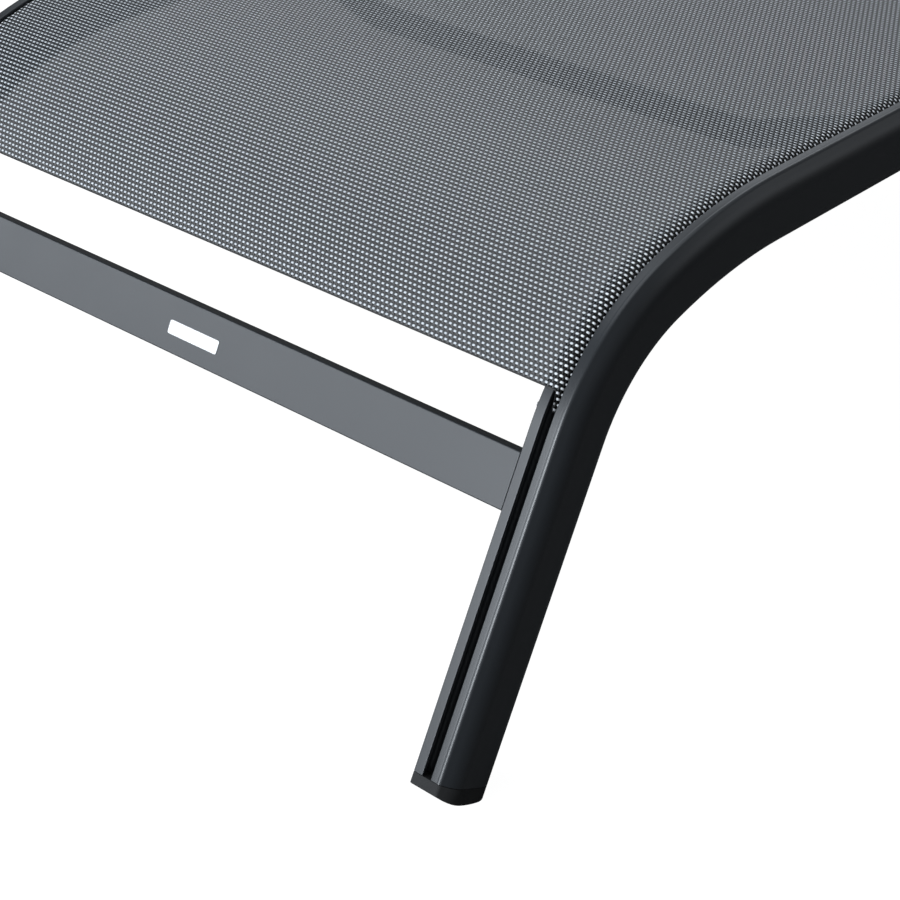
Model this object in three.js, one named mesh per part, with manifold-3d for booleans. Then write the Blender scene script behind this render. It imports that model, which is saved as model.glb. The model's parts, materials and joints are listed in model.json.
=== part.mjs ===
// A flat, stackable aluminium sun lounger with a woven sling seat and a backrest that tilts up.
// Millimetres. +Y points to the head end, +X to the right seen from the foot end, +Z up.
// The origin is on the floor under the middle of the lounger.
import * as THREE from 'three';
import { mergeVertices } from 'three/addons/utils/BufferGeometryUtils.js';
import Module from 'manifold-3d';

const wasm = await Module();
wasm.setup();

// ---------- driving dimensions ----------
const LENGTH = 1950;
const BED_HEIGHT = 341;
const CLEAR_WIDTH = 622;
const HALF_CLEAR = CLEAR_WIDTH / 2;
const GAP = 0.3;

const RAIL = { width: 31, depth: 50, slotFrom: 7.6, wall: 2 };
const BACK_RAIL = { width: 26, depth: 32, slotFrom: 8, wall: 2 };
const SLOT_WIDTH = 7;
const LIP = 2.2;
// A rail section's outer side. The slotted face ends at a ridge, given by shares of the width, and a round
// shoulder runs down from there to a share of the depth. The lower corner's rounding is a share of both.
const RIDGE = { from: 0.335, to: 0.285, drop: 1.6 };
const SHOULDER = 0.52;
const ROUND = { width: 0.41, depth: 0.27 };
const FACE_BEVEL = 1;
const BACK_BEVEL = 4;
const CAVITY = { belowChannel: 2, shoulder: 1.5 };
const CHANNEL_RADIUS = 6;
const KEDER_RADIUS = 4;

const LEG_LEAN = THREE.MathUtils.degToRad(27.6);
const BEND_TIGHT = { radius: 170, turn: THREE.MathUtils.degToRad(45), steps: 6 };
const BEND_EASY = { radius: 420, turn: Math.PI / 2 - LEG_LEAN - BEND_TIGHT.turn, steps: 3 };
const TOE_LIFT = 21.5;
const REAR_TOE_Y = LENGTH / 2 - 70;
const CAP_THICK = 8;
// The cap's sole seen from the side: distances from the toe along its end, and how far it bulges.
const SOLE = { toeControl: [8, 4.6], heelControl: [31, 5.6], heel: [50.5, -0.4], reach: 6, steps: 8 };
const PLUG_LENGTH = 24;
const PLUG_SLACK = 0.9;

const CROSSBAR = { from: 187, height: 39.5, thick: 18, wall: 1.5 };
const LABEL = { x: 18, along: 204.8, width: 50, height: 10, thick: 0.5, radius: 1.5 };
const STRETCHER = { radius: 11, wall: 1.5, drop: 38, endDepth: 27, slope: THREE.MathUtils.degToRad(18) };
const STRETCHER_BEND = 60;
const STRETCHER_Y = { stretcher_front: -468, stretcher_middle: -110, stretcher_hinge: 60 };

const SLING_THICK = 1.2;
const SLING_LIFT = 0.5;
const SLING_HOOK = 2.6;
const SLING_START = 271;
const SEAT_END_Y = 96;
const BACK_SLING = { from: 150, to: 922 };

const SIDE_GAP = 14;
const BACK_OUTER = HALF_CLEAR - SIDE_GAP;
const BACK_START_Y = 110;
const BACK_CAP = 5;
const BACK_PLUG = 14;
const BACK_END_Y = LENGTH / 2 - BACK_CAP;
const BACK_BOW = 30;
const BACK_STRETCHER_Y = { backrest_stretcher_lower: 187, backrest_stretcher_upper: 705 };
const HEAD_BAR = { centreY: 945, width: 38, height: 22, wall: 1.5, topDepth: 4 };

const HINGE = { y: 130, z: BED_HEIGHT - 22, boltRadius: 4 };
const PROP_REACH = 215;
const PROP_ROD_RADIUS = 5;
const PROP_FALL = Math.atan2(BACK_RAIL.depth + 1 + PROP_ROD_RADIUS - 22, 2 * PROP_REACH);
const ARM = { from: 302.2, thick: 4, halfWidth: 11 };
const LUG = { from: BACK_OUTER + GAP, thick: 3.9, halfLength: 24, halfFoot: 9, topDepth: 9, shoulder: 10,
  bottomDepth: 41 };
const STUD_REACH = 3;
const RACK = { from: 307.2, thick: 3.5, near: 104, beyondRod: 44, topDepth: 21, bottomDepth: 64 };
const RACK_HOLE_DEPTH = 30;
const RACK_TAB = { length: 28, beyondRod: 3, corner: 4 };
const RACK_CORNER = { near: 12, far: 10 };
// A notch's outline: how far its tips are below the rod's line, its depth, and each corner's distance from
// the rod's centre.
const NOTCH = { tipDrop: 6.3, depth: 7, headTip: 7, headFloor: 6, footFloor: 5, footTip: 13 };
const RACK_ANGLES = [20, 35, 50, 66];
const PROP_ROD_HALF = 310;
const INSERT = { radius: 5.2, length: 10 };
const WASHER = { radius: 8, thick: 1.5 };
const BOLT_HEAD = { radius: 7.2, height: 5 };
const NUT = { radius: 5.4, thick: 2.6 };
const RIVET = { radius: 2.4, headRadius: 4.2, headHeight: 1.6, shank: 4 };
const PEG = { y: 628, pinRadius: 4, sleeveRadius: 7, reach: 38, bare: 1, inRail: 3 };
const STOP_SCREW = { along: 258, depth: 6, headRadius: 3.6, headHeight: 3, shankRadius: 1.9, shank: 4.5 };
const DRILL = { before: 1, past: 4, screwPast: 8 };

const SMALL_SIDES = 10;
const HEAD_SIDES = 12;

// ---------- materials ----------
const MATERIALS = {
  frame: { color: 0x43474c, roughness: 0.5, metalness: 0.55 },
  bar: { color: 0x5c6066, roughness: 0.5, metalness: 0.55 },
  plastic: { color: 0x26272a, roughness: 0.65, metalness: 0 },
  sling: { color: 0x6a6e74, roughness: 0.85, metalness: 0 },
  steel: { color: 0xa6a8ab, roughness: 0.35, metalness: 0.9 },
  label: { color: 0xe9e9e6, roughness: 0.4, metalness: 0 },
};

const lounger = new THREE.Group();

function addPiece(name, geometry, material) {
  const mesh = new THREE.Mesh(geometry, new THREE.MeshStandardMaterial(MATERIALS[material]));
  mesh.name = name;
  lounger.add(mesh);
  return mesh;
}

// The right piece, and its mirror image on the left.
function addPair(name, geometry, material) {
  addPiece(`${name}_right`, geometry, material);
  addPiece(`${name}_left`, geometry, material).scale.x = -1;
}

// ---------- joining and cutting ----------
function toSolid(geometry) {
  const bare = geometry.clone();
  bare.deleteAttribute('normal');
  bare.deleteAttribute('uv');
  const merged = mergeVertices(bare, 1e-4);
  const vertProperties = new Float32Array(merged.attributes.position.array);
  const triVerts = new Uint32Array(merged.index.array);
  return new wasm.Manifold(new wasm.Mesh({ numProp: 3, vertProperties, triVerts }));
}

function toGeometry(solid) {
  const mesh = solid.getMesh();
  const geometry = new THREE.BufferGeometry();
  geometry.setAttribute('position', new THREE.BufferAttribute(mesh.vertProperties, 3));
  geometry.setIndex(new THREE.BufferAttribute(mesh.triVerts, 1));
  geometry.computeVertexNormals();
  return geometry;
}

function cut(geometry, tools) {
  return toGeometry(tools.reduce((solid, tool) => solid.subtract(toSolid(tool)), toSolid(geometry)));
}

function join(a, b) {
  return toGeometry(toSolid(a).add(toSolid(b)));
}

// ---------- shapes that several parts use ----------

// A path in one plane given by its stations, each a point and a direction. side is the plane's normal,
// and a section's x runs along it.
class StationPath extends THREE.Curve {
  constructor(stations, side) {
    super();
    this.stations = stations;
    this.side = side;
  }

  at(u) {
    return this.stations[Math.round(u * (this.stations.length - 1))];
  }

  getPoint(u) {
    return this.at(u).point.clone();
  }

  getPointAt(u) {
    return this.getPoint(u);
  }

  computeFrenetFrames() {
    const tangents = this.stations.map((station) => station.direction.clone());
    const normals = tangents.map(() => this.side.clone());
    const binormals = tangents.map((tangent) => tangent.clone().cross(this.side));
    return { tangents, normals, binormals };
  }
}

// The shape with its curves as points, and no point twice where one curve meets the next.
function asPolygon(shape, curveSegments) {
  const outlines = shape.extractPoints(curveSegments);
  const distinct = (points) => points.filter((p, i) => p.distanceTo(points[(i + 1) % points.length]) > 0.01);
  const outline = distinct(outlines.shape);
  const polygon = new THREE.Shape(THREE.ShapeUtils.isClockWise(outline) ? outline.reverse() : outline);
  polygon.holes = outlines.holes.map((hole) => new THREE.Path(distinct(hole)));
  return polygon;
}

function sweep(shape, stations, side, curveSegments = 4) {
  const extrudePath = new StationPath(stations, side);
  const steps = stations.length - 1;
  return new THREE.ExtrudeGeometry(asPolygon(shape, curveSegments), { steps, extrudePath });
}

// A plate drawn in the YZ plane, from one X to another.
function plate(shape, fromX, thick, curveSegments = 4) {
  const polygon = asPolygon(shape, curveSegments);
  const geometry = new THREE.ExtrudeGeometry(polygon, { depth: thick, bevelEnabled: false });
  const axes = [new THREE.Vector3(0, 1, 0), new THREE.Vector3(0, 0, 1), new THREE.Vector3(1, 0, 0)];
  geometry.applyMatrix4(new THREE.Matrix4().makeBasis(...axes));
  return geometry.translate(fromX, 0, 0);
}

// A round bar, or a ring with a bore, along X.
function barX(radius, fromX, toX, y, z, sides = 16) {
  const geometry = new THREE.CylinderGeometry(radius, radius, toX - fromX, sides);
  return geometry.rotateZ(-Math.PI / 2).translate((fromX + toX) / 2, y, z);
}

function ringX(radius, bore, fromX, toX, y, z, sides = 16) {
  const points = [[bore, 0], [radius, 0], [radius, toX - fromX], [bore, toX - fromX], [bore, 0]];
  const profile = points.map(([r, h]) => new THREE.Vector2(r, h));
  return new THREE.LatheGeometry(profile, sides).rotateZ(-Math.PI / 2).translate(fromX, y, z);
}

// A shaft along X with a larger head on its low-X or high-X end.
function headed(headRadius, headFrom, headTo, radius, from, to, y, z, headSides = 16) {
  return join(barX(headRadius, headFrom, headTo, y, z, headSides), barX(radius, from, to, y, z));
}

// ---------- the side rails' line ----------
const legUp = new THREE.Vector3(0, Math.sin(LEG_LEAN), Math.cos(LEG_LEAN));
const footTurn = BEND_TIGHT.turn + BEND_EASY.turn;
const tightRise = BEND_TIGHT.radius * (Math.cos(BEND_EASY.turn) - Math.cos(footTurn));
const easyRise = BEND_EASY.radius * (1 - Math.cos(BEND_EASY.turn));
const LEG_LENGTH = (BED_HEIGHT - TOE_LIFT - tightRise - easyRise) / Math.cos(LEG_LEAN);
const TIGHT_LENGTH = BEND_TIGHT.radius * BEND_TIGHT.turn;
const EASY_LENGTH = BEND_EASY.radius * BEND_EASY.turn;
const FOOT_RUN = LEG_LENGTH + TIGHT_LENGTH + EASY_LENGTH;

// The rail's top line at a distance from the toe: how far in, how high, and its climb angle.
function footLine(along) {
  const straight = Math.min(along, LEG_LENGTH);
  const tight = THREE.MathUtils.clamp(along - LEG_LENGTH, 0, TIGHT_LENGTH) / BEND_TIGHT.radius;
  const easy = THREE.MathUtils.clamp(along - LEG_LENGTH - TIGHT_LENGTH, 0, EASY_LENGTH) / BEND_EASY.radius;
  const flat = Math.max(along - FOOT_RUN, 0);
  const mid = footTurn - tight;
  const climb = mid - easy;
  const inward = straight * Math.cos(footTurn) + flat
    + BEND_TIGHT.radius * (Math.sin(footTurn) - Math.sin(mid))
    + BEND_EASY.radius * (Math.sin(mid) - Math.sin(climb));
  const height = TOE_LIFT + straight * Math.sin(footTurn)
    + BEND_TIGHT.radius * (Math.cos(mid) - Math.cos(footTurn))
    + BEND_EASY.radius * (Math.cos(climb) - Math.cos(mid));
  return { inward, height, climb };
}

function station(y, z, angle) {
  const direction = new THREE.Vector3(0, Math.cos(angle), Math.sin(angle));
  return { point: new THREE.Vector3(0, y, z), direction };
}

// Stations run from the head to the foot, so that a section's y points up.
function frontStation(along) {
  const { inward, height, climb } = footLine(along);
  return station(-LENGTH / 2 + inward, height, Math.PI + climb);
}

function rearStation(along) {
  const { inward, height, climb } = footLine(along);
  return station(REAR_TOE_Y - inward, height, Math.PI - climb);
}

// Distances from the toe at which the foot line needs a station, from the bed down to a start.
function footSteps(start) {
  const steps = [];
  for (let i = 0; i < BEND_EASY.steps; i++) {
    steps.push(FOOT_RUN - (EASY_LENGTH * i) / BEND_EASY.steps);
  }
  for (let i = 0; i <= BEND_TIGHT.steps; i++) {
    steps.push(LEG_LENGTH + TIGHT_LENGTH * (1 - i / BEND_TIGHT.steps));
  }
  return steps.filter((along) => along > start + 1).concat([start]);
}

// Stations along a leg from distances that fall towards the toe, in the head-to-foot order.
function legStations(distances, atHead) {
  return atHead ? distances.map(rearStation).reverse() : distances.map(frontStation);
}

const ACROSS = new THREE.Vector3(1, 0, 0);

// ---------- rail sections ----------
// x runs from the flat side to the curved side, y is 0 on the slotted top face.
function outerSide(shape, { width, depth }, inset, fromY) {
  const roundX = width * ROUND.width;
  const roundY = depth * ROUND.depth;
  const sideY = -depth * SHOULDER;
  const centreY = roundY - depth;
  shape.quadraticCurveTo(width - inset, (fromY + sideY) / 2, width - inset, sideY);
  shape.lineTo(width - inset, centreY);
  shape.absellipse(width - roundX, centreY, roundX - inset, roundY - inset, 0, -Math.PI / 2, true);
  shape.lineTo(BACK_BEVEL + inset, inset - depth);
  shape.lineTo(inset, BACK_BEVEL + inset - depth);
}

// The slotted face, bevelled on the flat side and turning over at the ridge, with a slot cut by addSlot.
function outline(rail, addSlot) {
  const shape = new THREE.Shape();
  shape.moveTo(0, -FACE_BEVEL);
  shape.lineTo(FACE_BEVEL, 0);
  addSlot(shape);
  shape.lineTo(rail.width * (1 - RIDGE.from), 0);
  shape.lineTo(rail.width * (1 - RIDGE.to), -RIDGE.drop);
  outerSide(shape, rail, 0, -RIDGE.drop);
  shape.closePath();
  return shape;
}

function solidSection(rail) {
  return outline(rail, () => {});
}

const CHANNEL_DEPTH = LIP + Math.sqrt(CHANNEL_RADIUS ** 2 - (SLOT_WIDTH / 2) ** 2);
const CAVITY_TOP = CHANNEL_DEPTH + CHANNEL_RADIUS + CAVITY.belowChannel;

function slotCentre(rail) {
  return rail.slotFrom + SLOT_WIDTH / 2;
}

function cavity(rail, inset, Kind = THREE.Path) {
  const path = new Kind();
  const top = rail.wall - CAVITY_TOP - inset;
  path.moveTo(inset, top);
  path.lineTo(rail.width - CAVITY.shoulder - inset, top);
  outerSide(path, rail, inset, top);
  path.closePath();
  return path;
}

function railSection(rail) {
  const centre = slotCentre(rail);
  const half = SLOT_WIDTH / 2;
  const opening = Math.asin(half / CHANNEL_RADIUS);
  const shape = outline(rail, (face) => {
    face.lineTo(centre - half, 0);
    face.absarc(centre, -CHANNEL_DEPTH, CHANNEL_RADIUS, Math.PI / 2 + opening, Math.PI / 2 - opening, false);
    face.lineTo(centre + half, 0);
  });
  shape.holes.push(cavity(rail, rail.wall));
  return shape;
}

// ---------- side rails and their foot caps ----------
const RAIL_END = CAP_THICK + GAP / 2;
const rackHoleZ = BED_HEIGHT - RACK_HOLE_DEPTH;
const rackHoles = [HINGE.y + RACK.near + RACK_TAB.length / 2, HINGE.y + 2 * PROP_REACH + RACK_TAB.length];
const stopScrew = frontStation(STOP_SCREW.along).point
  .add(new THREE.Vector3(0, Math.cos(LEG_LEAN), -Math.sin(LEG_LEAN)).multiplyScalar(STOP_SCREW.depth));
const pegZ = BED_HEIGHT - BACK_RAIL.depth - GAP - PEG.sleeveRadius;

function sideRail() {
  const steps = footSteps(RAIL_END);
  const stations = legStations(steps, true).concat(legStations(steps, false));
  const body = sweep(railSection(RAIL), stations, ACROSS).translate(HALF_CLEAR, 0, 0);
  const from = HALF_CLEAR - DRILL.before;
  const past = HALF_CLEAR + DRILL.past;
  const screwPast = HALF_CLEAR + DRILL.screwPast;
  const drills = [
    barX(INSERT.radius + GAP, from, past, HINGE.y, HINGE.z),
    barX(PEG.pinRadius + GAP, from, past, PEG.y, pegZ),
    barX(STOP_SCREW.shankRadius + GAP, from, screwPast, stopScrew.y, stopScrew.z, SMALL_SIDES),
  ];
  for (const y of rackHoles) {
    drills.push(barX(RIVET.radius + GAP, from, past, y, rackHoleZ, SMALL_SIDES));
  }
  return cut(body, drills);
}

// Everything below the sole's curve, for a leg whose toe is at a Y and whose depth runs towards inwardSign.
function belowSole(toeY, inwardSign) {
  const toe = new THREE.Vector2(toeY, TOE_LIFT);
  const at = (inward, down) => new THREE.Vector2(inward, -down)
    .rotateAround(new THREE.Vector2(), -LEG_LEAN).multiply(new THREE.Vector2(inwardSign, 1)).add(toe);
  const controls = [at(0, 0), at(...SOLE.toeControl), at(...SOLE.heelControl), at(...SOLE.heel)];
  const curve = new THREE.CubicBezierCurve(...controls).getPoints(SOLE.steps);
  const [before, beyond] = [-RAIL.width, RAIL.depth + RAIL.width];
  const below = [at(beyond, 0), at(beyond, RAIL.depth), at(before, RAIL.depth), at(before, 0)];
  return plate(new THREE.Shape(curve.concat(below)), -RAIL.width, 3 * RAIL.width);
}

// The cap closes the tube's square end. Its sole is rounded, and the heel is cut level with the floor.
function footCap(atHead) {
  const base = sweep(solidSection(RAIL), legStations([CAP_THICK - GAP / 2, -SOLE.reach], atHead), ACROSS);
  const plugSection = cavity(RAIL, RAIL.wall + PLUG_SLACK, THREE.Shape);
  const plug = sweep(plugSection, legStations([CAP_THICK + PLUG_LENGTH, CAP_THICK / 2], atHead), ACROSS);
  const floor = new THREE.BoxGeometry(3 * RAIL.width, 2 * LENGTH, BED_HEIGHT);
  floor.translate(0, 0, -BED_HEIGHT / 2);
  const sole = atHead ? belowSole(REAR_TOE_Y, -1) : belowSole(-LENGTH / 2, 1);
  return cut(join(base, plug), [floor, sole]).translate(HALF_CLEAR, 0, 0);
}

addPair('side_rail', sideRail(), 'frame');
addPair('foot_cap_front', footCap(false), 'plastic');
addPair('foot_cap_rear', footCap(true), 'plastic');

// ---------- crossbars between the legs ----------
function boxTube(width, height, wall) {
  const shape = new THREE.Shape();
  shape.moveTo(0, 0);
  shape.lineTo(width, 0);
  shape.lineTo(width, height);
  shape.lineTo(0, height);
  shape.closePath();
  const hole = new THREE.Path();
  hole.moveTo(wall, wall);
  hole.lineTo(width - wall, wall);
  hole.lineTo(width - wall, height - wall);
  hole.lineTo(wall, height - wall);
  hole.closePath();
  shape.holes.push(hole);
  return shape;
}

// Its outer face is flush with the legs' slotted faces.
function legCrossbar(toeY, inwardSign) {
  const section = boxTube(CROSSBAR.thick, CROSSBAR.height, CROSSBAR.wall);
  const bar = plate(section, -HALF_CLEAR + GAP, CLEAR_WIDTH - 2 * GAP);
  const lean = -LEG_LEAN * inwardSign;
  if (inwardSign < 0) {
    bar.translate(0, -CROSSBAR.thick, 0);
  }
  bar.translate(0, 0, CROSSBAR.from).rotateX(lean);
  return bar.translate(0, toeY, TOE_LIFT);
}

addPiece('front_crossbar', legCrossbar(-LENGTH / 2, 1), 'bar');
addPiece('rear_crossbar', legCrossbar(REAR_TOE_Y, -1), 'bar');

// A blank sticker with round corners on the front crossbar.
function label() {
  const { width, height, thick, radius } = LABEL;
  const shape = new THREE.Shape();
  shape.moveTo(radius, 0);
  shape.absarc(width - radius, radius, radius, -Math.PI / 2, 0);
  shape.absarc(width - radius, height - radius, radius, 0, Math.PI / 2);
  shape.absarc(radius, height - radius, radius, Math.PI / 2, Math.PI);
  shape.absarc(radius, radius, radius, Math.PI, 1.5 * Math.PI);
  const sticker = new THREE.ExtrudeGeometry(asPolygon(shape, 2), { depth: thick, bevelEnabled: false });
  sticker.translate(LABEL.x - width / 2, -height / 2, GAP).rotateX(Math.PI / 2 - LEG_LEAN);
  const centre = legUp.clone().multiplyScalar(LABEL.along);
  return sticker.translate(0, centre.y - LENGTH / 2, centre.z + TOE_LIFT);
}

addPiece('crossbar_label', label(), 'label');

// ---------- bowed stretchers under the slings ----------
function tubeSection(radius, wall) {
  const shape = new THREE.Shape().absarc(0, 0, radius, 0, 2 * Math.PI);
  shape.holes.push(new THREE.Path().absarc(0, 0, radius - wall, 0, 2 * Math.PI, true));
  return shape;
}

// Half of the bow, from its end at the rail to the level middle: x from the middle, drop and slope.
function bowedStations(halfSpan, drop) {
  const bendDrop = STRETCHER_BEND * (1 - Math.cos(STRETCHER.slope));
  const bendRun = STRETCHER_BEND * Math.sin(STRETCHER.slope);
  const slopeRun = (drop - bendDrop) / Math.tan(STRETCHER.slope);
  const bendX = halfSpan - slopeRun;
  const half = [
    { x: halfSpan, drop: 0, slope: 0 },
    { x: bendX, drop: drop - bendDrop, slope: 1 },
    { x: bendX - bendRun / 2, drop: drop - bendDrop / 4, slope: 0.5 },
    { x: bendX - bendRun, drop, slope: 0 },
  ];
  const mirrored = half.map(({ x, drop: low, slope }) => ({ x: -x, drop: low, slope: -slope }));
  return mirrored.concat(half.reverse());
}

function stretcher(halfSpan, drop, y, endZ) {
  const stations = bowedStations(halfSpan - GAP, drop).map(({ x, drop: low, slope }) => {
    const angle = slope * STRETCHER.slope;
    const direction = new THREE.Vector3(Math.cos(angle), 0, Math.sin(angle));
    return { point: new THREE.Vector3(x, y, endZ - low), direction };
  });
  return sweep(tubeSection(STRETCHER.radius, STRETCHER.wall), stations, new THREE.Vector3(0, 1, 0), 6);
}

for (const [name, y] of Object.entries(STRETCHER_Y)) {
  addPiece(name, stretcher(HALF_CLEAR, STRETCHER.drop, y, BED_HEIGHT - STRETCHER.endDepth), 'frame');
}

// ---------- slings and keder rods ----------
function slingSection(slotX) {
  const outer = slotX + SLING_THICK / 2;
  const inner = slotX - SLING_THICK / 2;
  const top = SLING_LIFT + SLING_THICK;
  const outline = [[-outer, -SLING_HOOK], [-inner, -SLING_HOOK], [-inner, SLING_LIFT], [inner, SLING_LIFT],
    [inner, -SLING_HOOK], [outer, -SLING_HOOK], [outer, top], [-outer, top]];
  return new THREE.Shape(outline.map(([x, y]) => new THREE.Vector2(x, y)));
}

function kederRod(rail, stations, side, fromX) {
  const section = new THREE.Shape().absarc(slotCentre(rail), -CHANNEL_DEPTH, KEDER_RADIUS, 0, 2 * Math.PI);
  return sweep(section, stations, side).translate(fromX, 0, 0);
}

const seatEnd = station(SEAT_END_Y, BED_HEIGHT, Math.PI);
const seatStations = [seatEnd].concat(legStations(footSteps(SLING_START), false));
addPiece('seat_sling', sweep(slingSection(HALF_CLEAR + slotCentre(RAIL)), seatStations, ACROSS), 'sling');
addPair('seat_keder', kederRod(RAIL, seatStations, ACROSS, HALF_CLEAR), 'plastic');

// ---------- racks, pegs and small fittings on the side rails ----------
// The prop's foot rod runs on a straight line through the hinge, which falls a little towards the head.
function rodPoint(distance) {
  return { y: HINGE.y + distance * Math.cos(PROP_FALL), z: HINGE.z - distance * Math.sin(PROP_FALL) };
}

// A plate with notches along its top edge and a bolt tab at each end.
function rackShape() {
  const near = HINGE.y + RACK.near;
  const far = HINGE.y + 2 * PROP_REACH + RACK.beyondRod;
  const nearTab = near + RACK_TAB.length;
  const farTab = HINGE.y + 2 * PROP_REACH + PROP_ROD_RADIUS + RACK_TAB.beyondRod;
  const high = BED_HEIGHT - RACK.topDepth;
  const low = BED_HEIGHT - RACK.bottomDepth;
  const tip = (y) => rodPoint(y - HINGE.y).z - NOTCH.tipDrop;
  const shape = new THREE.Shape();
  shape.moveTo(near, low + RACK_CORNER.near);
  shape.lineTo(near + RACK_CORNER.near, low);
  shape.lineTo(far - RACK_CORNER.far, low);
  shape.lineTo(far, low + RACK_CORNER.far);
  shape.lineTo(far, high);
  shape.lineTo(farTab + RACK_TAB.corner, high);
  shape.lineTo(farTab, high - RACK_TAB.corner);
  shape.lineTo(farTab, tip(farTab));
  for (const angle of RACK_ANGLES) {
    const y = rodPoint(2 * PROP_REACH * Math.cos(THREE.MathUtils.degToRad(angle))).y;
    const floor = tip(y) - NOTCH.depth;
    shape.lineTo(y + NOTCH.headTip, tip(y));
    shape.lineTo(y + NOTCH.headFloor, floor);
    shape.lineTo(y - NOTCH.footFloor, floor);
    shape.lineTo(y - NOTCH.footTip, tip(y));
  }
  shape.lineTo(nearTab + RACK_TAB.corner, tip(nearTab));
  shape.lineTo(nearTab, high);
  shape.lineTo(near, high);
  shape.closePath();
  return shape;
}

function rack() {
  const blank = plate(rackShape(), RACK.from, RACK.thick);
  const hole = [RIVET.radius + GAP, RACK.from - DRILL.before, HALF_CLEAR];
  return cut(blank, rackHoles.map((y) => barX(...hole, y, rackHoleZ, SMALL_SIDES)));
}

addPair('prop_rack', rack(), 'steel');
rackHoles.forEach((y, i) => {
  const face = RACK.from - GAP;
  const head = [RIVET.headRadius, face - RIVET.headHeight, face];
  const rivet = headed(...head, RIVET.radius, face - 0.5, HALF_CLEAR + RIVET.shank, y, rackHoleZ, HEAD_SIDES);
  addPair(`rack_rivet_${i + 1}`, rivet, 'steel');
});

const insert = ringX(INSERT.radius, HINGE.boltRadius + GAP, HALF_CLEAR + GAP, HALF_CLEAR + INSERT.length,
  HINGE.y, HINGE.z);
addPair('hinge_insert', insert, 'steel');

const pinEnd = HALF_CLEAR - PEG.reach;
const sleeve = ringX(PEG.sleeveRadius, PEG.pinRadius + GAP, pinEnd + PEG.bare, HALF_CLEAR - GAP, PEG.y, pegZ);
addPair('rest_pin', barX(PEG.pinRadius, pinEnd, HALF_CLEAR + PEG.inRail, PEG.y, pegZ), 'steel');
addPair('rest_sleeve', sleeve, 'plastic');

function stopScrewPiece() {
  const face = HALF_CLEAR - GAP;
  const headFrom = face - STOP_SCREW.headHeight;
  const shank = [STOP_SCREW.shankRadius, headFrom + 1, HALF_CLEAR + STOP_SCREW.shank];
  return headed(STOP_SCREW.headRadius, headFrom, face, ...shank, stopScrew.y, stopScrew.z, HEAD_SIDES);
}

addPair('sling_stop_screw', stopScrewPiece(), 'steel');

// ---------- backrest ----------
// Its rails have their flat side outwards, so a section's x runs from there towards the middle.
const TO_MIDDLE = new THREE.Vector3(-1, 0, 0);

function backStations(fromY, toY) {
  return [station(fromY, BED_HEIGHT, 0), station(toY, BED_HEIGHT, 0)];
}

function backRail() {
  const stations = backStations(BACK_START_Y + GAP / 2, BACK_END_Y - GAP / 2);
  const body = sweep(railSection(BACK_RAIL), stations, TO_MIDDLE).translate(BACK_OUTER, 0, 0);
  const bore = [HINGE.boltRadius + GAP, BACK_OUTER - 2 * BACK_RAIL.width, BACK_OUTER + 1];
  return cut(body, [barX(...bore, HINGE.y, HINGE.z)]);
}

// A push-in cap on a backrest rail's end: a plate as thick as its stand-out, and a plug in the tube.
function backCap(endY, outSign) {
  const outer = [endY + (outSign * GAP) / 2, endY + outSign * BACK_CAP].sort((a, b) => a - b);
  const inner = [endY + outSign * BACK_CAP / 2, endY - outSign * BACK_PLUG].sort((a, b) => a - b);
  const lid = sweep(solidSection(BACK_RAIL), backStations(...outer), TO_MIDDLE);
  const plugSection = cavity(BACK_RAIL, BACK_RAIL.wall + PLUG_SLACK, THREE.Shape);
  const plug = sweep(plugSection, backStations(...inner), TO_MIDDLE);
  return join(lid, plug).translate(BACK_OUTER, 0, 0);
}

addPair('backrest_rail', backRail(), 'frame');
addPair('backrest_cap_head', backCap(BACK_END_Y, 1), 'plastic');
addPair('backrest_cap_hinge', backCap(BACK_START_Y, -1), 'plastic');

const BACK_HALF_CLEAR = BACK_OUTER - BACK_RAIL.width;

function headBar() {
  const half = BACK_HALF_CLEAR - GAP;
  const bar = plate(boxTube(HEAD_BAR.width, HEAD_BAR.height, HEAD_BAR.wall), -half, 2 * half);
  const bottom = BED_HEIGHT - HEAD_BAR.topDepth - HEAD_BAR.height;
  return bar.translate(0, HEAD_BAR.centreY - HEAD_BAR.width / 2, bottom);
}

addPiece('backrest_head_bar', headBar(), 'frame');
for (const [name, y] of Object.entries(BACK_STRETCHER_Y)) {
  addPiece(name, stretcher(BACK_HALF_CLEAR, BACK_BOW, y, BED_HEIGHT - BACK_RAIL.depth / 2), 'frame');
}

const backSlingStations = backStations(BACK_SLING.from, BACK_SLING.to);
const backSling = sweep(slingSection(BACK_OUTER - slotCentre(BACK_RAIL)), backSlingStations, TO_MIDDLE);
addPiece('backrest_sling', backSling, 'sling');
addPair('backrest_keder', kederRod(BACK_RAIL, backSlingStations, TO_MIDDLE, BACK_OUTER), 'plastic');

// ---------- hinge ----------
// The bolt goes through the backrest rail and a spacer into the threaded insert in the side rail.
function hingeBolt() {
  const washerFace = BACK_HALF_CLEAR - 2 * GAP - WASHER.thick;
  const head = [washerFace - BOLT_HEAD.height, washerFace];
  const shank = [washerFace - 1, HALF_CLEAR + INSERT.length];
  return headed(BOLT_HEAD.radius, ...head, HINGE.boltRadius, ...shank, HINGE.y, HINGE.z, 6);
}

const washerEnd = BACK_HALF_CLEAR - GAP;
const onBolt = [WASHER.radius, HINGE.boltRadius + GAP];
const washer = ringX(...onBolt, washerEnd - WASHER.thick, washerEnd, HINGE.y, HINGE.z);
const spacer = ringX(...onBolt, BACK_OUTER + GAP, HALF_CLEAR - GAP, HINGE.y, HINGE.z);
addPair('hinge_bolt', hingeBolt(), 'steel');
addPair('hinge_washer', washer, 'steel');
addPair('hinge_spacer', spacer, 'plastic');

// ---------- prop ----------
const propPivot = rodPoint(PROP_REACH);
const propFoot = rodPoint(2 * PROP_REACH);

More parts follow.
